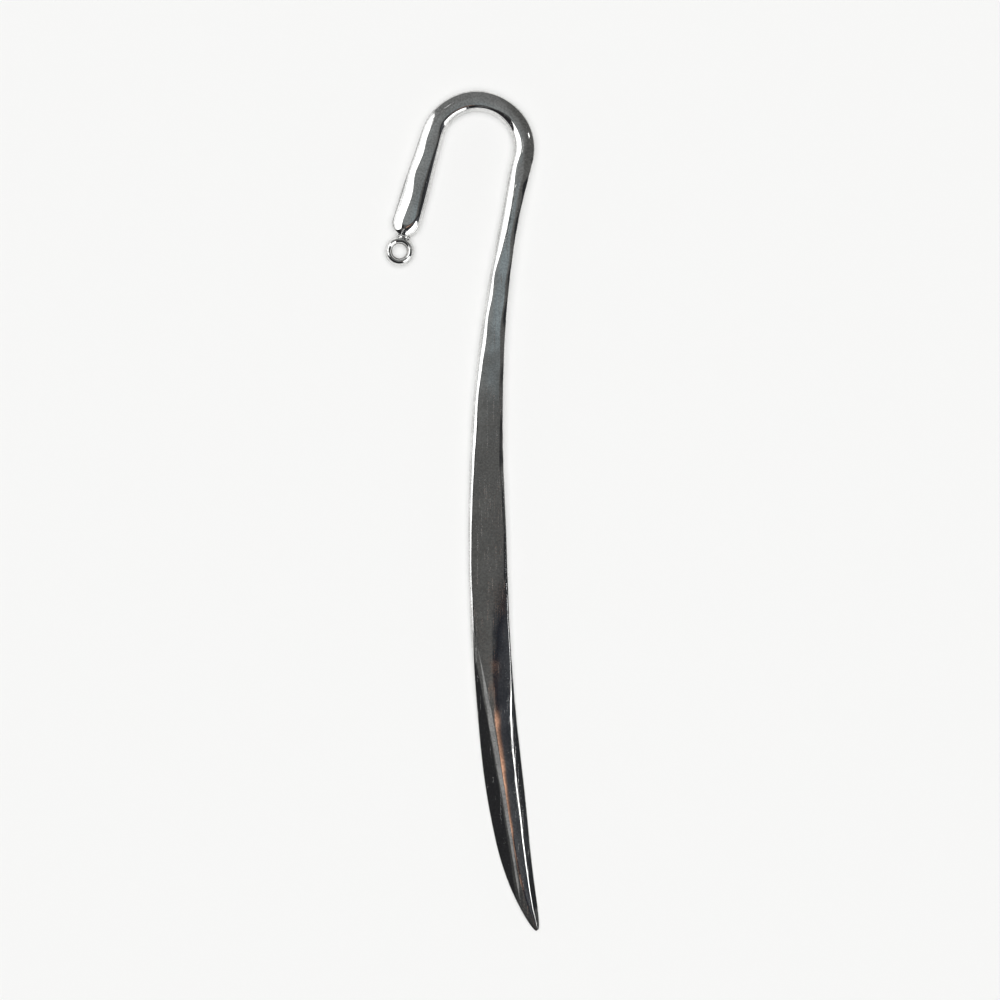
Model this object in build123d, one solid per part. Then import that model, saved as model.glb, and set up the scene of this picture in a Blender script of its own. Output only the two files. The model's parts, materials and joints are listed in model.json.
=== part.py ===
"""Hook bookmark in polished metal: a flat-backed bar with a crook at the top and a sabre-shaped
blade, and a ring soldered to the nose of its short leg to carry a charm."""
from build123d import *
from math import atan, cos, degrees, radians, sin, sqrt, tan
import os

# Centre line of the bar in plan, in millimetres and degrees, from the nose of the leg to the point
leg_length = 15.6
leg_lean = 16.5
crook_radius = 6.85
stem_lean = 13.5
stem_radius = 190.0
belly_radius = 600.0
belly_length = 18.85
blade_radius = 290.0
blade_length = 36.95
point_radius = 65.0
point_length = 13.73

# Widths across the bar
leg_end_width = 4.3
leg_root_width = 3.35
crook_width = 2.9
crook_foot_width = 3.25
waist_width = 2.8
shoulder_width = 4.45
blade_width = 5.8
point_width = 0.4

# Places along the bar
waist_below_crook = 9.5
shoulder_below_crook = 36.0
full_width_below_crook = 62.0
taper_length = 26.0

# Heights of the bar over its flat back
hook_height = 1.9
blade_height = 1.25
point_height = 0.75
nose_height = 1.45

# Heights of the upright sides, between the rounded edges of the back and of the front
hook_side = 0.6
blade_side = 0.35
point_side = 0.05

# Edges of the front's flat, from the middle, as shares of the half width: on the inner side of the crook,
# where the edge passes the middle at the waist, and on the outer side, where it does so at the point
hook_inner_flat = 0.45
crook_foot_inner_flat = 0.12
waist_inner_flat = -0.1
shoulder_inner_flat = 0.5
hook_outer_flat = 0.12
waist_outer_flat = 0.5
blade_flat = 0.84
point_outer_flat = -0.12
point_rounding_length = 31.0

# Tilt of the front where it meets the outer side, from the flat
outer_edge_tilt = 40.0

# Edges of the back, and the depth ground off it
back_edge_radius = 0.22
back_grind = 0.05

# Bevel ground across the front of the point, on the side of the leg
bevel_slope = 15.0
bevel_length = 42.0
bevel_edge_setback = 0.57

# Ring for a charm, its shank and the solder that holds it
ring_bore_radius = 1.03
ring_wire_radius = 0.6
ring_land_depth = 0.05
ring_height = 0.82
ring_offset = 0.22
ring_gap = 0.16
shank_radius = 0.42
shank_depth = 2.4
solder_film = 0.06
solder_bead_radius = 0.74
solder_bead_length = 0.6
nose_cap = 0.2

# Sections that the bar is lofted through: shares of the nose and of the taper, and spacings between them
nose_steps = (0.0, 0.1, 0.28, 0.56)
leg_section_spacing = 4.5
crook_section_spacing = 1.9
blade_section_spacing = 7.4
taper_steps = (0.0, 0.25, 0.48, 0.66, 0.8, 0.9, 0.96, 1.0)
taper_power = 0.65
UP = Vector(0, 0, 1)


def curve_through(stops):
    """A smooth curve through (place, value) stops that never overshoots between two of them."""
    rises = [(b[1] - a[1]) / (b[0] - a[0]) for a, b in zip(stops, stops[1:])]
    slopes = [0.0]
    for before, after in zip(rises, rises[1:]):
        turns = before * after <= 0
        slopes.append(0.0 if turns else 2 * before * after / (before + after))
    slopes.append(0.0)

    def value(place):
        place = min(max(place, stops[0][0]), stops[-1][0])
        i = max(k for k in range(len(stops) - 1) if stops[k][0] <= place)
        span = stops[i + 1][0] - stops[i][0]
        t = (place - stops[i][0]) / span
        start = (1 + 2 * t) * (1 - t) ** 2 * stops[i][1] + t * (1 - t) ** 2 * span * slopes[i]
        end = t * t * (3 - 2 * t) * stops[i + 1][1] - t * t * (1 - t) * span * slopes[i + 1]
        return start + end

    return value


def spread(start, end, spacing):
    """Places from start up to, but not at, end, at even steps near a spacing."""
    count = max(round((end - start) / spacing), 1)
    return [start + (end - start) * i / count for i in range(count)]


# Centre line: a straight leg, the crook, then four gentle arcs, each tangent to the last
leg_way = Vector(sin(radians(leg_lean)), cos(radians(leg_lean)), 0)
leg_side = leg_way.cross(UP)
leg_top = leg_side * -crook_radius
nose = leg_top - leg_way * leg_length
leg = Line(nose, leg_top)
crook = JernArc(leg_top, leg_way, crook_radius, leg_lean - stem_lean - 180)
stem = JernArc(crook @ 1, crook % 1, stem_radius, stem_lean)
belly = JernArc(stem @ 1, stem % 1, belly_radius, degrees(belly_length / belly_radius))
blade = JernArc(belly @ 1, belly % 1, blade_radius, degrees(blade_length / blade_radius))
point = JernArc(blade @ 1, blade % 1, point_radius, degrees(point_length / point_radius))
spine = Wire([leg, crook, stem, belly, blade, point])
crook_end = leg.length + crook.length
bar_end = spine.length
taper_start = bar_end - taper_length
waist_place = crook_end + waist_below_crook
shoulder_place = crook_end + shoulder_below_crook
blade_place = crook_end + full_width_below_crook
nose_radius = leg_end_width / 2

# The ring lies beyond the nose, on an axis that runs along the leg, a little towards the stem
ring_root = nose + leg_side * ring_offset + UP * ring_height
ring_centre_radius = ring_bore_radius - ring_land_depth + ring_wire_radius
ring_reach = ring_centre_radius + ring_wire_radius
ring_centre = ring_root + leg_way * (nose_cap - ring_gap - ring_reach)

width_at = curve_through(
    [
        (nose_radius, leg_end_width),
        (leg_length, leg_root_width),
        (leg_length + crook.length / 2, crook_width),
        (crook_end, crook_foot_width),
        (waist_place, waist_width),
        (shoulder_place, shoulder_width),
        (blade_place, blade_width),
        (taper_start, blade_width),
    ]
)
height_at = curve_through(
    [
        (waist_place, hook_height),
        (blade_place, blade_height),
        (bar_end, point_height),
    ]
)
side_at = curve_through(
    [
        (waist_place, hook_side),
        (blade_place, blade_side),
        (bar_end - point_rounding_length, point_side),
    ]
)
inner_flat_at = curve_through(
    [
        (leg_length + crook.length / 2, hook_inner_flat),
        (crook_end, crook_foot_inner_flat),
        (waist_place, waist_inner_flat),
        (shoulder_place, shoulder_inner_flat),
        (blade_place, blade_flat),
    ]
)
outer_flat_at = curve_through(
    [
        (crook_end, hook_outer_flat),
        (waist_place, waist_outer_flat),
        (blade_place, blade_flat),
        (bar_end - point_rounding_length, point_outer_flat),
    ]
)


def half_width(place):
    """Half the bar's width, with the round nose in plan and the drawn-in point."""
    half = width_at(place) / 2
    if place < nose_radius:
        return half * sqrt(1 - (1 - place / nose_radius) ** 2)
    if place > taper_start:
        share = min((place - taper_start) / taper_length, 1)
        return point_width / 2 + (half - point_width / 2) * (1 - share**2) ** taper_power
    return half


def height(place):
    """The bar's height over its back, with the rounded front of the nose."""
    if place < nose_radius:
        share = sqrt(1 - (1 - place / nose_radius) ** 2)
        return nose_height + (hook_height - nose_height) * share
    return height_at(place)


def station(place):
    """The plane across the bar at a place along it: X to the outer side of the crook, Y up."""
    origin = spine.position_at(place, position_mode=PositionMode.LENGTH)
    along = spine.tangent_at(place, position_mode=PositionMode.LENGTH)
    return Plane(origin=origin, x_dir=UP.cross(along), z_dir=along)


def section(place):
    """The bar's section: a flat front between a round outer and an elliptic inner shoulder, over a back
    with rounded edges."""
    half = half_width(place)
    edge = min(back_edge_radius, half / 2)
    foot = half - edge
    lift = edge - back_grind
    brow = lift + side_at(place)
    top = height(place)
    outer = half * outer_flat_at(place)
    inner = half * inner_flat_at(place)
    shoulder = half - outer
    drop = min(shoulder * tan(radians(outer_edge_tilt / 2)), top - brow)
    radius = (shoulder**2 + drop**2) / (2 * drop)
    tilt = degrees(2 * atan(drop / shoulder))
    outline = [
        Line((half, lift), (half, top - drop)),
        CenterArc((outer, top - radius), radius, start_angle=90 - tilt, arc_size=tilt),
        Line((outer, top), (-inner, top)),
        EllipticalCenterArc((-inner, brow), half - inner, top - brow, start_angle=90, arc_size=90),
        Line((-half, brow), (-half, lift)),
        RadiusArc((-half, lift), (-foot, -back_grind), -edge),
        Line((-foot, -back_grind), (foot, -back_grind)),
        RadiusArc((foot, -back_grind), (half, lift), -edge),
    ]
    return station(place) * make_face(outline)


def hook_blade():
    """The bar: lofted along its centre line, back ground flat, point bevelled, nose drilled."""
    places = [nose_cap + (nose_radius - nose_cap) * step for step in nose_steps]
    places += spread(nose_radius, leg_length, leg_section_spacing)
    places += spread(leg_length, crook_end, crook_section_spacing)
    places += spread(crook_end, taper_start, blade_section_spacing)
    places += [taper_start + taper_length * step for step in taper_steps]
    bar = loft([section(place) for place in places])
    reach = bar_end
    bar -= Pos(0, 0, -reach / 2) * Box(2 * reach, 2 * reach, reach)
    bar -= bevel_waste()
    return bar - socket()


def bevel_waste():
    """What the bevel takes off: all over a sloping plane, whose ridge ends at the middle of the point."""
    start = bar_end - bevel_length
    low_side = bevel_edge_setback - half_width(start)
    first = station(start).from_local_coords((low_side, height(start), 0))
    last = station(bar_end).from_local_coords((0, height(bar_end), 0))
    ridge = (last - first).normalized()
    downhill = ridge.cross(UP).normalized()
    normal = (UP + downhill * tan(radians(bevel_slope))).normalized()
    face = Plane(origin=(first + last) / 2, x_dir=ridge, z_dir=normal)
    size = 2 * bevel_length
    return face * Pos(0, 0, size / 2) * Box(size, size, size)


def along_leg(radius, start, end, end_radius=None):
    """A round solid on the ring's axis, which runs along the leg, from start to end."""
    base = Plane(origin=ring_root, z_dir=leg_way)
    length = end - start
    if end_radius is None:
        body = Cylinder(radius, length)
    else:
        body = Cone(radius, end_radius, length)
    return base * Pos(0, 0, start + length / 2) * body


def socket():
    """The hole drilled in the nose for the shank and its film of solder."""
    return along_leg(shank_radius + solder_film, 0, nose_cap + shank_depth)


def charm_ring():
    """The ring, with a narrow straight land in its bore, and the shank that enters the nose."""
    shank = along_leg(shank_radius, nose_cap - ring_gap - ring_wire_radius, nose_cap + shank_depth)
    ring = Pos(ring_centre) * Torus(ring_centre_radius, ring_wire_radius) + shank
    return ring - Pos(ring_centre) * Cylinder(ring_bore_radius, 2 * ring_reach)


def solder_joint():
    """The solder: a film round the shank, and a bead between the nose and the ring."""
    bead = along_leg(ring_wire_radius, nose_cap - solder_bead_length, nose_cap, solder_bead_radius)
    return bead + socket() - charm_ring()


pieces = {"hook_blade": hook_blade(), "charm_ring": charm_ring(), "solder_joint": solder_joint()}

# The origin lies under the middle of the whole bookmark, on its back
whole = Compound(children=[Compound(piece.solids()) for piece in pieces.values()]).bounding_box()
to_origin = Pos(-whole.center().X, -whole.center().Y, 0)
os.makedirs("parts", exist_ok=True)
for name, piece in pieces.items():
    export_step(to_origin * piece, f"parts/{name}.step")
size = whole.size
centre = ring_centre - Vector(whole.center().X, whole.center().Y, 0)
print(f"overall {size.X:.2f} x {size.Y:.2f} x {size.Z:.2f} mm, bar {bar_end:.1f} mm along its middle")
print(f"ring bore at {centre.X:.3f}, {centre.Y:.3f}, {centre.Z:.3f} mm, radius {ring_bore_radius} mm")
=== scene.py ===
"""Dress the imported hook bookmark: a plated bar, its charm ring and the solder between them."""
import json
from collections import namedtuple
from math import cos, hypot, pi, radians, sin, sqrt, tan

import bmesh
import bpy
from mathutils import Matrix, Vector, noise


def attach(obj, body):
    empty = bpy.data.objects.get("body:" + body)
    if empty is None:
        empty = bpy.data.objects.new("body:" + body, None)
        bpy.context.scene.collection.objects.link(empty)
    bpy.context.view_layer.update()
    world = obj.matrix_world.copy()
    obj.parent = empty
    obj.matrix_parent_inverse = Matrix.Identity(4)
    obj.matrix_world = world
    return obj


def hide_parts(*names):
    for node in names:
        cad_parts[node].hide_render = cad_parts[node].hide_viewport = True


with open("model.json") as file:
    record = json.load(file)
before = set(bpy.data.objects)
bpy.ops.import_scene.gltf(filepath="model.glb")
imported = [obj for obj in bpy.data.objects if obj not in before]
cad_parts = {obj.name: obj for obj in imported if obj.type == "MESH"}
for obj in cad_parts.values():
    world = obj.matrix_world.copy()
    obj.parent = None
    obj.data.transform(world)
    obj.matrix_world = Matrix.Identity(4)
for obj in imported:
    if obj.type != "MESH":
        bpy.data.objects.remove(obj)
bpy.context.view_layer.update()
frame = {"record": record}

bl_info = {
    "name": "Hook bookmark",
    "version": (1, 0, 0),
    "blender": (4, 5, 0),
    "location": "View3D > Sidebar > Bookmark",
    "description": "Models a plated hook bookmark over its packed frame",
    "category": "Object",
}

MM = 0.001
BODY = "root"
# Points closer than this are one
SEAM = 0.0001 * MM
MOUNTS = {mount["name"]: mount for mount in frame["record"]["mounts"]}
BORE = MOUNTS["charm_bore"]
UP = Vector((0, 0, 1))


def length(name, description, size_mm):
    """A length property that is shown in scene units."""
    return bpy.props.FloatProperty(
        name=name, description=description, default=size_mm * MM, unit="LENGTH", precision=5
    )


def angle(name, description, size_deg):
    """An angle property."""
    return bpy.props.FloatProperty(
        name=name, description=description, default=radians(size_deg), subtype="ANGLE"
    )


def number(name, description, value):
    """A plain number property."""
    return bpy.props.FloatProperty(name=name, description=description, default=value, precision=4)


def colour(name, description, value):
    """A colour property."""
    return bpy.props.FloatVectorProperty(
        name=name, description=description, default=value, subtype="COLOR", min=0, max=1
    )


class BarSizes(bpy.types.PropertyGroup):
    """Sizes of the bar, from the nose of the leg to the point."""

    leg_length: length("Leg length", "From the nose to the crook", 15.6)
    leg_lean: angle("Leg lean", "Lean of the leg from the long axis", 16.5)
    crook_radius: length("Crook radius", "To the middle of the bar", 6.85)
    stem_lean: angle("Stem lean", "Lean of the stem where the crook ends", 13.5)
    stem_radius: length("Stem radius", "Bend of the stem", 190.0)
    belly_radius: length("Belly radius", "Bend of the upper blade", 600.0)
    belly_length: length("Belly length", "Length of the upper blade", 18.85)
    blade_radius: length("Blade radius", "Bend of the lower blade", 290.0)
    blade_length: length("Blade length", "Length of the lower blade", 36.95)
    point_radius: length("Point radius", "Bend of the point", 65.0)
    point_length: length("Point length", "Length of the point", 13.73)
    leg_end_width: length("Leg end width", "Widest part of the leg", 4.3)
    leg_root_width: length("Leg root width", "Width where the crook starts", 3.35)
    crook_width: length("Crook width", "Width at the top of the crook", 2.9)
    crook_foot_width: length("Crook foot width", "Width where the crook ends", 3.25)
    waist_width: length("Waist width", "Narrowest part of the stem", 2.8)
    shoulder_width: length("Shoulder width", "Width where the stem becomes the blade", 4.45)
    blade_width: length("Blade width", "Widest part of the blade", 5.8)
    point_width: length("Point width", "Width of the blunt end", 0.4)
    waist_below_crook: length("Waist place", "From the end of the crook to the waist", 9.5)
    neck_below_crook: length("Neck place", "From the end of the crook", 19.5)
    shoulder_below_crook: length("Shoulder place", "From the end of the crook", 36.0)
    full_width_below_crook: length("Full width place", "From the end of the crook", 62.0)
    taper_length: length("Taper length", "Length over which the point is drawn in", 26.0)
    taper_fullness: number("Taper fullness", "Roundness in plan: 0.5 is an ellipse", 0.65)
    hook_height: length("Hook height", "Height of leg, crook and stem over the back", 1.9)
    blade_height: length("Blade height", "Height of the blade over the back", 1.25)
    point_height: length("Point height", "Height of the point over the back", 0.65)
    nose_height: length("Nose height", "Height of the nose at its flat cap", 1.45)
    hook_side: length("Hook side", "Height of the upright sides of the hook", 0.6)
    blade_side: length("Blade side", "Height of the upright sides of the blade", 0.35)
    point_side: length("Point side", "Height of the upright sides of the point", 0.05)
    nose_cap: length("Nose cap", "Depth of the flat cap on the nose", 0.2)
    back_edge_radius: length("Back edge radius", "Rounding of the edges of the back", 0.22)
    back_grind: length("Back grind", "Depth ground off the back", 0.05)
    bevel_length: length("Bevel length", "From the point to the start of the bevel", 42.0)
    bevel_edge_setback: length("Bevel setback", "From the edge to the start of the ridge", 0.57)
    bevel_round: length("Bevel rounding", "Softness of the bevel's ridge", 0.2)
    bevel_lead: length("Bevel lead", "How far before the bevel its rounding can reach", 9.12)
    ripple_height: length("Ripple height", "Height of the waves that hand polishing leaves", 0.012)
    ripple_size: length("Ripple size", "Length of those waves", 3.0)
    bevel_slope: angle("Bevel slope", "Slope of the bevel", 15.0)
    outer_edge_tilt: angle("Outer edge tilt", "Tilt of the front at the outer side", 40.0)
    nose_inner_flat: number("Nose inner flat", "Inner edge of the flat, past the middle", -0.3)
    nose_fade: length("Nose fade", "From the nose to where the flat is full", 3.4)
    hook_inner_flat: number("Hook inner flat", "Inner edge of the flat, as a share", 0.45)
    foot_inner_flat: number("Crook foot inner flat", "Inner edge of the flat, as a share", 0.12)
    waist_inner_flat: number("Waist inner flat", "Inner edge of the flat, past the middle", -0.1)
    neck_inner_flat: number("Neck inner flat", "Inner edge of the flat, as a share", 0.45)
    shoulder_inner_flat: number("Shoulder inner flat", "Inner edge of the flat, as a share", 0.58)
    hook_outer_flat: number("Hook outer flat", "Outer edge of the flat, as a share", 0.12)
    waist_outer_flat: number("Waist outer flat", "Outer edge of the flat, as a share", 0.5)
    blade_flat: number("Blade flat", "Both edges of the flat, as a share of the half width", 0.84)
    flat_crown: length("Flat crown", "How much the front's flat is domed", 0.035)
    flat_wander: number("Flat wander", "How far the hook's flat wanders, as a share", 0.3)
    wander_size: length("Wander size", "Length over which it wanders", 4.5)
    point_outer_flat: number("Point outer flat", "Outer edge of the flat, past the middle", -0.12)
    point_rounding_length: length("Point rounding", "From the point to its full rounding", 31.0)
    ridge_length: length("Ridge length", "From the point to where the ridge starts", 59.0)
    ridge_full_length: length("Full ridge length", "From the point to the full ridge", 19.0)
    dent_height: length("Dent height", "Height of the dents along the outer shoulder", 0.012)
    dent_size: length("Dent size", "Size of those dents", 0.6)
    dent_lead: length("Dent lead", "From the first dents to the blade's full width", 8.0)


class RingSizes(bpy.types.PropertyGroup):
    """Sizes of the charm ring and of the solder at its neck."""

    bore_radius: length("Bore radius", "Radius of the ring's bore", BORE["dims"]["r_mm"])
    wire_radius: length("Wire radius", "Radius of the ring's wire", 0.6)
    wire_roof: number("Wire roof", "Crest of the wire: round at 2, a ridge at 1", 1.4)
    pearl_radius: length("Pearl radius", "Radius of the two pearls of solder beside the neck", 0.24)
    pearl_offset: length("Pearl offset", "From the ring's axis to the middle of a pearl", 0.82)
    land_depth: length("Land depth", "Depth of the straight land in the bore", 0.05)
    offset: length("Ring offset", "From the leg's axis towards the stem", 0.22)
    gap: length("Ring gap", "From the nose's cap to the ring, filled with solder", 0.16)
    bead_radius: length("Bead radius", "Radius of the solder bead at the nose", 0.74)
    bead_flare: length("Bead flare", "Half width of the bead where it lies on the ring", 0.95)
    bead_root: length("Bead root", "How far the bead goes into the nose", 0.05)
    bead_sink: number("Bead sink", "Depth of the bead in the ring, as a share", 0.7)
    bead_waist: number("Bead waist", "How much the bead is drawn in, as a share", 0.175)
    bead_lumps: number("Bead lumps", "Unevenness of the bead, as a share", 0.08)
    lump_size: length("Lump size", "Size of those lumps", 0.5)


class PlatingFinish(bpy.types.PropertyGroup):
    """Colours and polish of the plating."""

    bar_tint: colour("Bar tint", "Colour of the plating on the bar", (0.85, 0.85, 0.84))
    ring_tint: colour("Ring tint", "Colour of the plating on the ring", (0.86, 0.86, 0.85))
    solder_tint: colour("Solder tint", "Colour of the plating on the solder", (0.8, 0.8, 0.79))
    polish: number("Polish", "Roughness of the cleanest plating", 0.04)
    haze: number("Haze", "Roughness that handling adds", 0.06)
    scuff: number("Scuff", "Roughness that a hairline adds", 0.16)
    dull: number("Dull", "Share of the tint that is left where the plating is dull", 0.64)
    dark: number("Dark", "Share of the tint that is left in a pit", 0.45)


class StageSettings(bpy.types.PropertyGroup):
    """Floor, lights and camera."""

    picture_scale: length("Picture scale", "Size of one picture element on the object", 0.147)
    picture_x: number("Picture X", "Picture column of the object's middle", 462.0)
    picture_y: number("Picture Y", "Picture row of the object's middle", 511.2)
    picture_size: number("Picture size", "Columns and rows of the picture", 1000)
    lens: number("Lens", "Focal length in millimetres", 85.0)
    floor_colour: colour("Floor", "Colour of the floor", (0.93, 0.93, 0.92))
    window_light: number("Window", "Brightness of the windows", 3.4)


class CentreLine:
    """The bar's middle in plan: straight and round runs, each tangent to the last."""

    def __init__(self, bar, ring):
        self.lean = bar.leg_lean
        self.way = Vector((sin(self.lean), cos(self.lean), 0))
        self.side = Vector((cos(self.lean), -sin(self.lean), 0))
        crook = bar.crook_radius * (pi - bar.leg_lean + bar.stem_lean)
        self.runs = [
            (bar.leg_length, 0.0),
            (crook, -1 / bar.crook_radius),
            (bar.stem_radius * bar.stem_lean, 1 / bar.stem_radius),
            (bar.belly_length, 1 / bar.belly_radius),
            (bar.blade_length, 1 / bar.blade_radius),
            (bar.point_length, 1 / bar.point_radius),
        ]
        self.crook_mid = bar.leg_length + crook / 2
        self.crook_end = bar.leg_length + crook
        self.length = sum(run for run, _ in self.runs)
        # The ring's bore is a mount of the frame, and the nose lies up the leg from it
        self.ring_reach = bar.nose_cap - ring.gap - 2 * ring.wire_radius - ring.bore_radius
        self.ring_reach += ring.land_depth
        self.ring_centre = Vector(BORE["pos_m"])
        root = self.ring_centre - self.way * self.ring_reach
        self.ring_height = self.ring_centre.z
        self.nose = root - self.side * ring.offset - UP * self.ring_height

    def at(self, place):
        """The point at a place along the line, and the way the line runs there."""
        point = self.nose.copy()
        heading = pi / 2 - self.lean
        for run, bend in self.runs:
            step = min(place, run)
            turn = bend * step
            chord = 2 * sin(turn / 2) / bend if turn else step
            middle = heading + turn / 2
            point += chord * Vector((cos(middle), sin(middle), 0))
            heading += turn
            place -= step
            if place <= 0:
                break
        return point, Vector((cos(heading), sin(heading), 0))


def curve_through(stops):
    """A smooth curve through (place, value) stops that never overshoots between two of them."""
    rises = [(b[1] - a[1]) / (b[0] - a[0]) for a, b in zip(stops, stops[1:])]
    slopes = [0.0]
    for before, after in zip(rises, rises[1:]):
        turns = before * after <= 0
        slopes.append(0.0 if turns else 2 * before * after / (before + after))
    slopes.append(0.0)

    def value(place):
        place = min(max(place, stops[0][0]), stops[-1][0])
        i = max(k for k in range(len(stops) - 1) if stops[k][0] <= place)
        span = stops[i + 1][0] - stops[i][0]
        t = (place - stops[i][0]) / span
        start = (1 + 2 * t) * (1 - t) ** 2 * stops[i][1] + t * (1 - t) ** 2 * span * slopes[i]
        end = t * t * (3 - 2 * t) * stops[i + 1][1] - t * t * (1 - t) * span * slopes[i + 1]
        return start + end

    return value


def softer_of(a, b, softness):
    """The lower of two heights, with a rounded corner where they cross."""
    share = max(softness - abs(a - b), 0) / softness
    return min(a, b) - share * share * softness / 4


class BarShape:
    """The bar's skin: its section at any place along the centre line."""

    crown_faces = 56
    edge_faces = 4
    back_faces = 12
    fine_steps = 110
    nose_steps = 16
    taper_steps = 140
    taper_ease = 1.4
    crook_spacing = 0.2 * MM
    plain_spacing = 0.25 * MM
    # Rows and level of the noise by which the two edges of the flat wander
    outer_row = 0.0
    inner_row = 7.3
    wander_level = 0.5

    def __init__(self, bar, line):
        self.bar = bar
        self.line = line
        self.taper_start = line.length - bar.taper_length
        self.nose_radius = bar.leg_end_width / 2
        waist = line.crook_end + bar.waist_below_crook
        shoulder = line.crook_end + bar.shoulder_below_crook
        full = line.crook_end + bar.full_width_below_crook
        self.width_at = curve_through(
            [
                (self.nose_radius, bar.leg_end_width),
                (bar.leg_length, bar.leg_root_width),
                (line.crook_mid, bar.crook_width),
                (line.crook_end, bar.crook_foot_width),
                (waist, bar.waist_width),
                (shoulder, bar.shoulder_width),
                (full, bar.blade_width),
                (self.taper_start, bar.blade_width),
            ]
        )
        self.height_at = curve_through([(waist, bar.hook_height), (full, bar.blade_height)])
        self.full = full
        rounded = line.length - bar.point_rounding_length
        self.side_at = curve_through(
            [(waist, bar.hook_side), (full, bar.blade_side), (rounded, bar.point_side)]
        )
        self.inner_flat_at = curve_through(
            [
                (bar.nose_cap, bar.nose_inner_flat),
                (bar.nose_fade, bar.hook_inner_flat),
                (line.crook_mid, bar.hook_inner_flat),
                (line.crook_end, bar.foot_inner_flat),
                (waist, bar.waist_inner_flat),
                (line.crook_end + bar.neck_below_crook, bar.neck_inner_flat),
                (shoulder, bar.shoulder_inner_flat),
                (full, bar.blade_flat),
            ]
        )
        self.outer_flat_at = curve_through(
            [
                (line.crook_end, bar.hook_outer_flat),
                (waist, bar.waist_outer_flat),
                (full, bar.blade_flat),
            ]
        )
        ridge = line.length - bar.ridge_length
        self.rounding_at = curve_through([(ridge, 0.0), (line.length - bar.ridge_full_length, 1.0)])
        self.dents_at = curve_through([(full - bar.dent_lead, 0.0), (ridge, 1.0), (rounded, 0.0)])
        self.set_bevel()

    def half_width(self, place):
        """Half the bar's width, round at the nose and drawn in at the point."""
        half = self.width_at(place) / 2
        if place < self.nose_radius:
            return half * sqrt(1 - (1 - place / self.nose_radius) ** 2)
        if place > self.taper_start:
            share = min((place - self.taper_start) / self.bar.taper_length, 1)
            blunt = self.bar.point_width / 2
            return blunt + (half - blunt) * (1 - share**2) ** self.bar.taper_fullness
        return half

    def height(self, place):
        """Height of the front over the back."""
        if place < self.nose_radius:
            share = sqrt(1 - (1 - place / self.nose_radius) ** 2)
            return self.bar.nose_height + (self.bar.hook_height - self.bar.nose_height) * share
        past = max(place - self.full, 0) / (self.line.length - self.full)
        return self.height_at(place) - (self.bar.blade_height - self.bar.point_height) * past**2

    def point(self, place, across, rise):
        """A point of the section at a place: across to the outer side of the crook, and up."""
        middle, way = self.line.at(place)
        return middle + UP.cross(way) * across + UP * rise

    def set_bevel(self):
        """The bevel's sloping plane, as a point and a normal."""
        bar = self.bar
        start, end = self.line.length - bar.bevel_length, self.line.length
        low_side = bar.bevel_edge_setback - self.half_width(start)
        first = self.point(start, low_side, self.height(start))
        last = self.point(end, 0, self.height(end))
        ridge = (last - first).normalized()
        downhill = ridge.cross(UP).normalized()
        self.bevel_point = first
        self.bevel_normal = (UP + downhill * tan(bar.bevel_slope)).normalized()
        self.bevel_place = start - bar.bevel_lead

    def bevel_height(self, at):
        """Height of the bevel's plane over a point."""
        away = at - self.bevel_point
        normal = self.bevel_normal
        return self.bevel_point.z - (away.x * normal.x + away.y * normal.y) / normal.z

    def shoulder(self, across, start, half, most):
        """How far the outer shoulder, an arc from start to the side, lies under the flat."""
        span = half - start
        drop = min(span * tan(self.bar.outer_edge_tilt / 2), most)
        radius = (span**2 + drop**2) / (2 * drop)
        past = max(across - start, 0)
        return radius - sqrt(radius**2 - past**2)

    def crown(self, half, lift, brow, top, outer, inner, rounding):
        """Points of sides and front, evenly spaced from the outer edge to the inner one."""
        rise = top - brow
        ridge = half * self.bar.point_outer_flat
        turns = [pi / 2 * step / self.fine_steps for step in range(self.fine_steps + 1)]
        fine = [(half, lift)]
        for turn in turns:
            across = half - (half - min(ridge, outer)) * turn / turns[-1]
            crisp = self.shoulder(across, outer, half, rise)
            rounded = self.shoulder(across, ridge, half, rise)
            fine.append((across, top - crisp - (rounded - crisp) * rounding))
        fine += [(-inner - (half - inner) * sin(turn), brow + rise * cos(turn)) for turn in turns]
        fine.append((-half, lift))
        walked = [0.0]
        for a, b in zip(fine, fine[1:]):
            walked.append(walked[-1] + hypot(b[0] - a[0], b[1] - a[1]))
        points, k = [], 0
        for face in range(self.crown_faces + 1):
            goal = walked[-1] * face / self.crown_faces
            while k < len(fine) - 2 and walked[k + 1] < goal:
                k += 1
            t = (goal - walked[k]) / (walked[k + 1] - walked[k])
            a, b = fine[k], fine[k + 1]
            points.append((a[0] + (b[0] - a[0]) * t, a[1] + (b[1] - a[1]) * t))
        return points

    def back(self, half, edge, lift):
        """Points of the back from the inner edge to the outer one, before the grind."""
        foot = half - edge
        low = lift - edge
        quarter = [pi / 2 * step / self.edge_faces for step in range(1, self.edge_faces + 1)]
        points = [(-foot - edge * cos(turn), lift - edge * sin(turn)) for turn in quarter]
        for face in range(1, self.back_faces):
            points.append((foot * (2 * face / self.back_faces - 1), low))
        points += [(foot + edge * sin(turn), lift - edge * cos(turn)) for turn in [0, *quarter]]
        return points

    def wander(self, place, row):
        """How far hand polishing moves one edge of the flat, less on the thin blade."""
        share = self.height(place) / self.bar.hook_height
        where = Vector((place / self.bar.wander_size, row, self.wander_level))
        return self.bar.flat_wander * share**3 * noise.noise(where)

    def ripple(self, at):
        """The shallow waves that hand polishing leaves."""
        return self.bar.ripple_height * noise.noise(at / self.bar.ripple_size)

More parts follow.
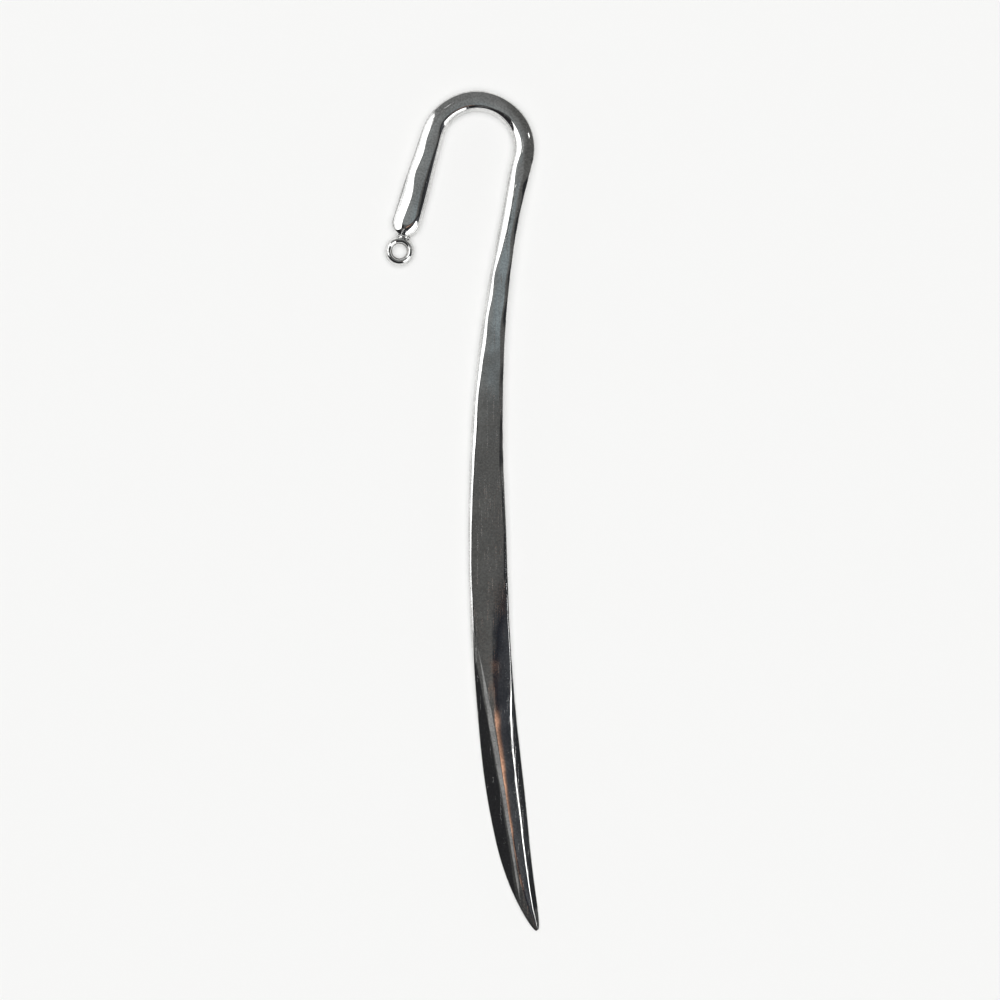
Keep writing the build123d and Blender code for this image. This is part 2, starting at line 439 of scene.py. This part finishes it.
    def ring_of_points(self, place):
        """One closed section, in the frame, from the outer edge over the crown and back below."""
        bar = self.bar
        half = self.half_width(place)
        edge = min(bar.back_edge_radius, half / 2)
        lift = edge - bar.back_grind
        top = self.height(place)
        ring = []
        outer = half * (self.outer_flat_at(place) + self.wander(place, self.outer_row))
        inner = half * (self.inner_flat_at(place) + self.wander(place, self.inner_row))
        brow = lift + self.side_at(place)
        rounding, dents = self.rounding_at(place), self.dents_at(place)
        for across, rise in self.crown(half, lift, brow, top, outer, inner, rounding):
            at = self.point(place, across, rise)
            share = (rise - lift) / (top - lift)
            at.z += self.ripple(at) * share
            at.z -= bar.flat_crown * (across / half) ** 2 * share
            if dents and across > outer:
                at.z += dents * bar.dent_height * noise.noise(at / bar.dent_size)
            if place > self.bevel_place:
                at.z = softer_of(at.z, self.bevel_height(at), bar.bevel_round)
            ring.append(at)
        for across, rise in self.back(half, edge, lift):
            ring.append(self.point(place, across, max(rise, 0)))
        return ring

    def places(self):
        """Stations along the bar, closer where it turns or ends."""
        bar = self.bar
        line = self.line
        nose = self.nose_radius - bar.nose_cap
        shares = [step / self.nose_steps for step in range(self.nose_steps)]
        places = [bar.nose_cap + nose * share**2 for share in shares]
        for start, end, spacing in (
            (self.nose_radius, bar.leg_length, self.plain_spacing),
            (bar.leg_length, line.crook_end, self.crook_spacing),
            (line.crook_end, self.taper_start, self.plain_spacing),
        ):
            count = round((end - start) / spacing)
            places += [start + (end - start) * step / count for step in range(count)]
        for step in range(self.taper_steps + 1):
            left = (1 - step / self.taper_steps) ** self.taper_ease
            places.append(line.length - bar.taper_length * left)
        return places


def new_object(bm, name, material):
    """Make an object of a bmesh, with smooth faces and its material, that rides on the body."""
    mesh = bpy.data.meshes.new(name)
    for face in bm.faces:
        face.smooth = True
    bm.to_mesh(mesh)
    bm.free()
    mesh.materials.append(material)
    piece = bpy.data.objects.new(name, mesh)
    bpy.context.scene.collection.objects.link(piece)
    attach(piece, BODY)
    return piece


def close_and_orient(bm):
    """Merge the seam, cap open ends and turn every face outwards."""
    bmesh.ops.remove_doubles(bm, verts=bm.verts, dist=SEAM)
    rims = [edge for edge in bm.edges if edge.is_boundary]
    if rims:
        bmesh.ops.holes_fill(bm, edges=rims, sides=0)
    bmesh.ops.recalc_face_normals(bm, faces=bm.faces)


def bent_grid(rings, girth_name):
    """A grid bent round so that each of its rows is one closed ring of points."""
    # The grid starts one unit wide about the origin, so a place on it is a share
    rows, columns = len(rings) - 1, len(rings[0])
    bm = bmesh.new()
    bmesh.ops.create_grid(bm, x_segments=rows, y_segments=columns, size=0.5)
    girth = bm.loops.layers.uv.new(girth_name)
    for face in bm.faces:
        for corner in face.loops:
            corner[girth].uv = (corner.vert.co.x + 0.5, corner.vert.co.y + 0.5)
    for vert in bm.verts:
        row = round((vert.co.x + 0.5) * rows)
        column = round((vert.co.y + 0.5) * columns) % columns
        vert.co = rings[row][column]
    return bm


class NodeTree:
    """Short ways to add and join nodes."""

    def __init__(self, tree):
        self.tree = tree

    def add(self, kind, inputs=(), **settings):
        """A new node with its settings and inputs."""
        node = self.tree.nodes.new(kind)
        for name, value in settings.items():
            setattr(node, name, value)
        for key, value in dict(inputs).items():
            self.put(node.inputs[key], value)
        return node

    def put(self, socket, value):
        """Join a socket to another one, or give it a plain value."""
        if isinstance(value, bpy.types.NodeSocket):
            self.tree.links.new(value, socket)
        else:
            socket.default_value = value

    def math(self, operation, a, b=0.0):
        """The result of one sum on two values."""
        return self.add("ShaderNodeMath", {0: a, 1: b}, operation=operation).outputs[0]

    def step(self, value, low, high, to_low=0.0, to_high=1.0):
        """A smooth step of a value between two levels."""
        inputs = {"Value": value, "From Min": low, "From Max": high}
        inputs.update({"To Min": to_low, "To Max": to_high})
        node = self.add("ShaderNodeMapRange", inputs, interpolation_type="SMOOTHSTEP")
        return node.outputs[0]

    def mix(self, factor, a, b):
        """A colour mixed from two."""
        node = self.add("ShaderNodeMix", data_type="RGBA")
        for key, value in (("Factor_Float", factor), ("A_Color", a), ("B_Color", b)):
            self.put(next(s for s in node.inputs if s.identifier == key), value)
        return next(s for s in node.outputs if s.identifier == "Result_Color")


# Marks per metre
HAZE_SCALE = 210.0
GRAIN_SCALE = 3600.0
HAIRLINE_SCALE = 5200.0
PIT_SCALE = 1500.0
PITTED_AREA_SCALE = 420.0
# Levels of the noise, or of the distance to a pit's middle, between which a mark fades in
HAZE_LEVELS = (0.35, 0.7)
GRAIN_LEVELS = (0.36, 0.64)
HAIRLINE_LEVELS = (0.68, 0.74)
PIT_LEVELS = (0.2, 0.08)
PITTED_AREA_LEVELS = (0.6, 0.7)
# Turn in degrees and stretch of each set of hairlines, and their stretch in height
HAIRLINE_SETS = ((-9, 0.018), (14, 0.03), (-48, 0.05))
HAIRLINE_RISE = 0.2
HAIRLINE_DEPTH = 0.004 * MM
HAIRLINE_STRENGTH = 0.1


def plating_marks():
    """A node group of what polishing and handling leave on bright plating."""
    known = bpy.data.node_groups.get("plating_marks")
    if known:
        return known
    group = bpy.data.node_groups.new("plating_marks", "ShaderNodeTree")
    face = group.interface
    face.new_socket("Vector", in_out="INPUT", socket_type="NodeSocketVector")
    for name in ("Haze", "Grain", "Hairlines", "Pits"):
        face.new_socket(name, in_out="OUTPUT", socket_type="NodeSocketFloat")
    nodes = NodeTree(group)
    place = nodes.add("NodeGroupInput").outputs["Vector"]

    def clouds(where, scale, detail):
        """Soft noise of a given scale and detail."""
        inputs = {"Vector": where, "Scale": scale, "Detail": detail}
        return nodes.add("ShaderNodeTexNoise", inputs).outputs[0]

    haze = clouds(place, HAZE_SCALE, 4.0)
    grain = clouds(place, GRAIN_SCALE, 3.0)
    hairlines = 0.0
    for turn, stretch in HAIRLINE_SETS:
        inputs = {"Vector": place, "Rotation": (0, 0, radians(turn))}
        inputs["Scale"] = (1, stretch, HAIRLINE_RISE)
        mapped = nodes.add("ShaderNodeMapping", inputs).outputs[0]
        thin = nodes.step(clouds(mapped, HAIRLINE_SCALE, 1.0), *HAIRLINE_LEVELS)
        hairlines = nodes.math("MAXIMUM", thin, hairlines)
    dots = nodes.add("ShaderNodeTexVoronoi", {"Vector": place, "Scale": PIT_SCALE})
    dots = nodes.step(dots.outputs["Distance"], *PIT_LEVELS)
    rare = nodes.step(clouds(place, PITTED_AREA_SCALE, 2.0), *PITTED_AREA_LEVELS)
    pits = nodes.math("MULTIPLY", dots, rare)
    out = nodes.add("NodeGroupOutput")
    nodes.put(out.inputs["Haze"], nodes.step(haze, *HAZE_LEVELS))
    nodes.put(out.inputs["Grain"], nodes.step(grain, *GRAIN_LEVELS))
    nodes.put(out.inputs["Hairlines"], hairlines)
    nodes.put(out.inputs["Pits"], pits)
    return group


def plating(name, tint, finish):
    """Bright plating with a little haze and grain, fine hairlines and small pits."""
    material = bpy.data.materials.new(name)
    material.use_nodes = True
    nodes = NodeTree(material.node_tree)
    shader = material.node_tree.nodes["Principled BSDF"]
    where = nodes.add("ShaderNodeTexCoord").outputs["Object"]
    marks = nodes.add("ShaderNodeGroup", node_tree=plating_marks())
    nodes.put(marks.inputs["Vector"], where)
    haze, grain, hairlines, pits = marks.outputs
    dull, dark = ([*(value * share for value in tint), 1] for share in (finish.dull, finish.dark))
    worn = nodes.math("MULTIPLY", nodes.math("ADD", haze, grain), 0.5)
    shade = nodes.mix(worn, [*tint, 1], dull)
    nodes.put(shader.inputs["Base Color"], nodes.mix(pits, shade, dark))
    hazed = nodes.step(haze, 0.0, 1.0, finish.polish, finish.polish + finish.haze)
    scuffed = nodes.math("MULTIPLY", hairlines, finish.scuff)
    nodes.put(shader.inputs["Roughness"], nodes.math("ADD", hazed, scuffed))
    shader.inputs["Metallic"].default_value = 1.0
    inputs = {"Strength": HAIRLINE_STRENGTH, "Distance": HAIRLINE_DEPTH}
    inputs["Height"] = nodes.math("ADD", hairlines, pits)
    bump = nodes.add("ShaderNodeBump", inputs, invert=True)
    nodes.put(shader.inputs["Normal"], bump.outputs[0])
    return material


class BOOKMARK_OT_hook_blade(bpy.types.Operator):
    """Model the bar: leg, crook, stem, blade and bevelled point"""

    bl_idname = "bookmark.hook_blade"
    bl_label = "Hook and blade"

    def execute(self, context):
        scene = context.scene
        shape = BarShape(scene.bar_sizes, CentreLine(scene.bar_sizes, scene.ring_sizes))
        rings = [shape.ring_of_points(place) for place in shape.places()]
        bm = bent_grid(rings, "along_bar")
        close_and_orient(bm)
        finish = scene.plating_finish
        material = plating("bar_plating", finish.bar_tint, finish)
        piece = new_object(bm, "polished_bar", material)
        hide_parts("hook_blade")
        return {"FINISHED"}


class BOOKMARK_OT_charm_ring(bpy.types.Operator):
    """Model the closed ring that carries a charm"""

    bl_idname = "bookmark.charm_ring"
    bl_label = "Charm ring"
    wire_faces = 48
    turn_faces = 96

    def execute(self, context):
        scene = context.scene
        ring = scene.ring_sizes
        line = CentreLine(scene.bar_sizes, ring)
        middle = ring.bore_radius - ring.land_depth + ring.wire_radius
        bm = bmesh.new()
        bmesh.ops.create_circle(bm, segments=self.wire_faces, radius=1.0)
        for vert in bm.verts:
            across, rise, _ = vert.co
            girth = abs(across) ** ring.wire_roof + abs(rise) ** ring.wire_roof
            wire = ring.wire_radius * girth ** (-1 / ring.wire_roof)
            reach = max(middle + wire * across, ring.bore_radius)
            vert.co = line.ring_centre + Vector((reach, 0, wire * rise))
        bmesh.ops.spin(
            bm,
            geom=[*bm.verts, *bm.edges],
            cent=line.ring_centre,
            axis=UP,
            angle=2 * pi,
            steps=self.turn_faces,
            use_merge=True,
        )
        close_and_orient(bm)
        finish = scene.plating_finish
        material = plating("ring_plating", finish.ring_tint, finish)
        piece = new_object(bm, "charm_loop", material)
        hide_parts("charm_ring")
        return {"FINISHED"}


class BOOKMARK_OT_solder_joint(bpy.types.Operator):
    """Model the solder bead between the nose of the leg and the ring"""

    bl_idname = "bookmark.solder_joint"
    bl_label = "Solder joint"
    round_faces = 40
    steps = 14
    waist_run = 1.3
    pearl_detail = 3

    def execute(self, context):
        scene = context.scene
        bar, ring = scene.bar_sizes, scene.ring_sizes
        line = CentreLine(bar, ring)
        root = line.ring_centre - line.way * line.ring_reach
        start = bar.nose_cap + ring.bead_root
        sink = ring.bead_sink * ring.wire_radius
        end = bar.nose_cap - ring.gap - sink
        rings = []
        for step in range(self.steps + 1):
            t = step / self.steps
            middle = root + line.way * (start + (end - start) * t)
            waist = 1 - ring.bead_waist * sin(pi * min(t * self.waist_run, 1))
            wide = (ring.bead_radius + (ring.bead_flare - ring.bead_radius) * t) * waist
            tall = (ring.bead_radius + (sink - ring.bead_radius) * t) * waist
            points = []
            for face in range(self.round_faces):
                turn = 2 * pi * face / self.round_faces
                at = middle + line.side * wide * cos(turn) + UP * tall * sin(turn)
                lump = 1 + ring.bead_lumps * noise.noise(at / ring.lump_size)
                points.append(middle + (at - middle) * lump)
            rings.append(points)
        bm = bent_grid(rings, "round_bead")
        close_and_orient(bm)
        neck = root + line.way * (bar.nose_cap - ring.gap) + UP * ring.pearl_radius
        for hand in (-1, 1):
            bmesh.ops.create_icosphere(
                bm,
                subdivisions=self.pearl_detail,
                radius=ring.pearl_radius,
                matrix=Matrix.Translation(neck + line.side * ring.pearl_offset * hand),
            )
        finish = scene.plating_finish
        material = plating("solder_plating", finish.solder_tint, finish)
        piece = new_object(bm, "solder_bead", material)
        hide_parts("solder_joint")
        return {"FINISHED"}


# A soft patch of the room, between two directions to the right and two to the far side
Patch = namedtuple("Patch", "right far soft tone")
# A lamp: angles in degrees, place and size in metres, and its share of the windows' brightness
Lamp = namedtuple("Lamp", "name azimuth tilt middle width height share lights_floor")


class BOOKMARK_OT_stage(bpy.types.Operator):
    """Set the floor, the soft lights and the camera over the bookmark"""

    bl_idname = "bookmark.stage"
    bl_label = "Floor, lights and camera"
    pale = (0.9, 0.9, 0.895, 1)
    # The camera's sensor in millimetres, and the nearest and farthest it sees in metres
    sensor_width = 36.0
    sight = (0.01, 100.0)
    # The floor is shaded nearer than the first reach and plain past the second, in metres
    floor_reaches = (0.25, 0.8)
    # How plain the shaded part looks to the camera
    floor_evenness = 0.35
    floor_size = 12.0
    floor_roughness = 0.9
    floor_sheen = 0.1
    # Heights between which the room turns from the pale horizon to its own shades
    horizon = (0.27, 0.22)
    # Directions to the far side and to the right where one shade gives way to the next
    middle_starts = (-0.34, -0.1)
    far_starts = (0.03, 0.12)
    far_ends_right = (0.5, 0.1)
    near_shade = (0.022, 0.022, 0.024, 1)
    middle_shade = (0.118, 0.118, 0.115, 1)
    far_shade = (0.2, 0.203, 0.202, 1)
    # The warm streak: its four soft edges, two of which lie aslant
    warm_shade = (1.0, 0.55, 0.36, 1)
    warm_far = (-0.09, -0.13)
    warm_near = (-0.2, -0.165)
    warm_left = (-0.015, 0.03)
    warm_right = (-0.06, -0.39)
    near_slant = -0.3
    right_slant = 4.0
    patches = (
        Patch((-0.3, 0.02), (-0.015, 0.24), 0.07, (0.272, 0.287, 0.288)),
        Patch((-0.04, 0.08), (0.0, 0.145), 0.04, (0.255, 0.293, 0.308)),
        Patch((-0.26, -0.08), (-0.1, 0.05), 0.03, (0.025, 0.025, 0.025)),
        Patch((-1.0, -0.32), (-0.7, -0.12), 0.04, (0.025, 0.025, 0.027)),
        Patch((0.1, 1.1), (-0.6, 0.03), 0.06, (0.025, 0.026, 0.029)),
        Patch((0.03, 0.55), (-0.5, -0.03), 0.05, (0.022, 0.024, 0.031)),
        Patch((0.14, 0.95), (-0.6, -0.04), 0.1, (0.085, 0.088, 0.096)),
    )
    lamps = (
        Lamp("left_window", 180.0, 90.0, (-0.5, 0.225, 1.045), 0.63, 1.4, 0.65, False),
        Lamp("left_sill", 180.0, 90.0, (-0.5, 0.225, 0.26), 0.63, 0.17, 0.3, False),
        Lamp("right_window", 315.0, 90.0, (0.495, -0.495, 0.81), 0.64, 0.8, 0.65, False),
        Lamp("right_sill", 315.0, 90.0, (0.495, -0.495, 0.265), 0.64, 0.29, 0.3, False),
        Lamp("near_lamp", 0.0, 55.0, (0.128, -0.046, 0.16), 0.055, 0.009, 1.0, False),
        Lamp("grey_card", 217.0, 14.0, (-0.026, -0.072, 0.19), 0.05, 0.045, 0.07, False),
        Lamp("crook_lamp", 27.0, 55.0, (0.46, 0.24, 0.44), 0.05, 0.07, 0.8, False),
        Lamp("far_lamp", 113.0, 55.0, (-0.134, 0.317, 0.49), 0.016, 0.022, 0.8, False),
        Lamp("overhead", 180.0, 0.0, (0.0, 0.0, 1.3), 2.0, 2.0, 0.6, True),
    )

    def execute(self, context):
        settings = context.scene.stage_settings
        self.floor(settings)
        self.room(context.scene)
        self.windows(settings)
        self.camera(context.scene, settings)
        context.scene.view_settings.view_transform = "Standard"
        return {"FINISHED"}

    def floor(self, settings):
        """A pale floor, shaded round the object, and evenly pale far from it and from below."""
        bm = bmesh.new()
        bmesh.ops.create_grid(bm, x_segments=1, y_segments=1, size=self.floor_size)
        mesh = bpy.data.meshes.new("pale_floor")
        bm.to_mesh(mesh)
        bm.free()
        material = bpy.data.materials.new("pale_floor")
        material.use_nodes = True
        shader = material.node_tree.nodes["Principled BSDF"]
        shader.inputs["Base Color"].default_value = (*settings.floor_colour, 1)
        shader.inputs["Roughness"].default_value = self.floor_roughness
        shader.inputs["Specular IOR Level"].default_value = self.floor_sheen
        nodes = NodeTree(material.node_tree)
        place = nodes.add("ShaderNodeTexCoord").outputs["Object"]
        reach = nodes.add("ShaderNodeVectorMath", {0: place}, operation="LENGTH").outputs["Value"]
        path = nodes.add("ShaderNodeLightPath").outputs
        seen = nodes.math("MAXIMUM", path["Is Camera Ray"], path["Is Glossy Ray"])
        seen = nodes.math("MAXIMUM", seen, path["Is Transmission Ray"])
        below = nodes.add("ShaderNodeNewGeometry").outputs["Backfacing"]
        even = nodes.math("MULTIPLY", path["Is Camera Ray"], self.floor_evenness)
        away = nodes.math("MAXIMUM", nodes.step(reach, *self.floor_reaches, even), below)
        far = nodes.math("MULTIPLY", away, seen)
        plain = nodes.add("ShaderNodeEmission", {"Color": self.pale}).outputs[0]
        mixed = nodes.add("ShaderNodeMixShader", {0: far, 1: shader.outputs[0], 2: plain})
        out = material.node_tree.nodes["Material Output"]
        nodes.put(out.inputs["Surface"], mixed.outputs[0])
        mesh.materials.append(material)
        floor = bpy.data.objects.new("pale_floor", mesh)
        bpy.context.scene.collection.objects.link(floor)

    def room(self, scene):
        """A dim room: dark near, lighter far, with patches, a warm streak and a pale horizon."""
        world = bpy.data.worlds.new("dim_room")
        scene.world = world
        world.use_nodes = True
        nodes = NodeTree(world.node_tree)
        way = nodes.add("ShaderNodeTexCoord").outputs["Generated"]
        parts = nodes.add("ShaderNodeSeparateXYZ", {0: way})
        right, far, up = parts.outputs
        shade = nodes.mix(nodes.step(far, *self.middle_starts), self.near_shade, self.middle_shade)
        beyond = nodes.step(far, *self.far_starts)
        beyond = nodes.math("MULTIPLY", beyond, nodes.step(right, *self.far_ends_right))
        shade = nodes.mix(beyond, shade, self.far_shade)
        for patch in self.patches:
            shade = nodes.mix(self.mask(nodes, right, far, patch), shade, (*patch.tone, 1))
        near_way = nodes.math("ADD", far, nodes.math("MULTIPLY", right, self.near_slant))
        right_way = nodes.math("ADD", right, nodes.math("MULTIPLY", far, self.right_slant))
        warm = 1.0
        for axis, edge in (
            (far, self.warm_far),
            (near_way, self.warm_near),
            (right, self.warm_left),
            (right_way, self.warm_right),
        ):
            warm = nodes.math("MULTIPLY", nodes.step(axis, *edge), warm)
        shade = nodes.mix(warm, shade, self.warm_shade)
        shade = nodes.mix(nodes.step(up, *self.horizon), shade, self.pale)
        nodes.put(world.node_tree.nodes["Background"].inputs["Color"], shade)

    def mask(self, nodes, right, far, patch):
        """Where a patch is seen, fading at its four edges."""
        mask = 1.0
        for axis, (low, high) in ((right, patch.right), (far, patch.far)):
            for edge, full in ((low, low + patch.soft), (high, high - patch.soft)):
                mask = nodes.math("MULTIPLY", nodes.step(axis, edge, full), mask)
        return mask

    def windows(self, settings):
        """The lamps: one lights the floor, and the others are seen in the plating."""
        for lamp in self.lamps:
            light = bpy.data.lights.new(lamp.name, "AREA")
            light.shape = "RECTANGLE"
            light.size, light.size_y = lamp.width, lamp.height
            light.energy = settings.window_light * lamp.share * pi * lamp.width * lamp.height
            shown = bpy.data.objects.new(lamp.name, light)
            shown.location = lamp.middle
            shown.rotation_euler = (radians(lamp.tilt), 0, radians(lamp.azimuth) + pi / 2)
            shown.visible_camera = False
            shown.visible_glossy = not lamp.lights_floor
            shown.visible_diffuse = lamp.lights_floor
            bpy.context.scene.collection.objects.link(shown)

    def camera(self, scene, settings):
        """Straight down, with the object's middle where the picture has it."""
        camera = bpy.data.cameras.new("camera")
        camera.lens = settings.lens
        camera.sensor_width = self.sensor_width
        across = settings.picture_scale * settings.picture_size
        high = across * camera.lens / camera.sensor_width
        middle = settings.picture_size / 2
        x = (middle - settings.picture_x) * settings.picture_scale
        y = (settings.picture_y - middle) * settings.picture_scale
        view = bpy.data.objects.new("camera", camera)
        view.location = (x, y, high)
        camera.clip_start, camera.clip_end = self.sight
        scene.collection.objects.link(view)
        scene.camera = view


class BOOKMARK_PT_sidebar(bpy.types.Panel):
    """Lists the bookmark's pieces and their sizes"""

    bl_idname = "BOOKMARK_PT_sidebar"
    bl_label = "Hook bookmark"
    bl_space_type = "VIEW_3D"
    bl_region_type = "UI"
    bl_category = "Bookmark"

    def draw(self, context):
        layout = self.layout
        for operator in OPERATORS:
            layout.operator(operator.bl_idname)
        for name in PROPERTY_GROUPS:
            box = layout.box()
            group = getattr(context.scene, name)
            for key in group.__annotations__:
                box.prop(group, key)


PROPERTY_GROUPS = {
    "bar_sizes": BarSizes,
    "ring_sizes": RingSizes,
    "plating_finish": PlatingFinish,
    "stage_settings": StageSettings,
}
OPERATORS = (
    BOOKMARK_OT_hook_blade,
    BOOKMARK_OT_charm_ring,
    BOOKMARK_OT_solder_joint,
    BOOKMARK_OT_stage,
)


def register():
    """Add the property groups, the operators and the panel to Blender."""
    for name, group in PROPERTY_GROUPS.items():
        bpy.utils.register_class(group)
        setattr(bpy.types.Scene, name, bpy.props.PointerProperty(type=group))
    for operator in OPERATORS:
        bpy.utils.register_class(operator)
    bpy.utils.register_class(BOOKMARK_PT_sidebar)


def unregister():
    """Take them away again."""
    bpy.utils.unregister_class(BOOKMARK_PT_sidebar)
    for operator in reversed(OPERATORS):
        bpy.utils.unregister_class(operator)
    for name, group in PROPERTY_GROUPS.items():
        delattr(bpy.types.Scene, name)
        bpy.utils.unregister_class(group)


def main():
    register()
    bpy.ops.bookmark.stage()
    bpy.ops.bookmark.hook_blade()
    bpy.ops.bookmark.charm_ring()
    bpy.ops.bookmark.solder_joint()


if __name__ == "__main__":
    main()
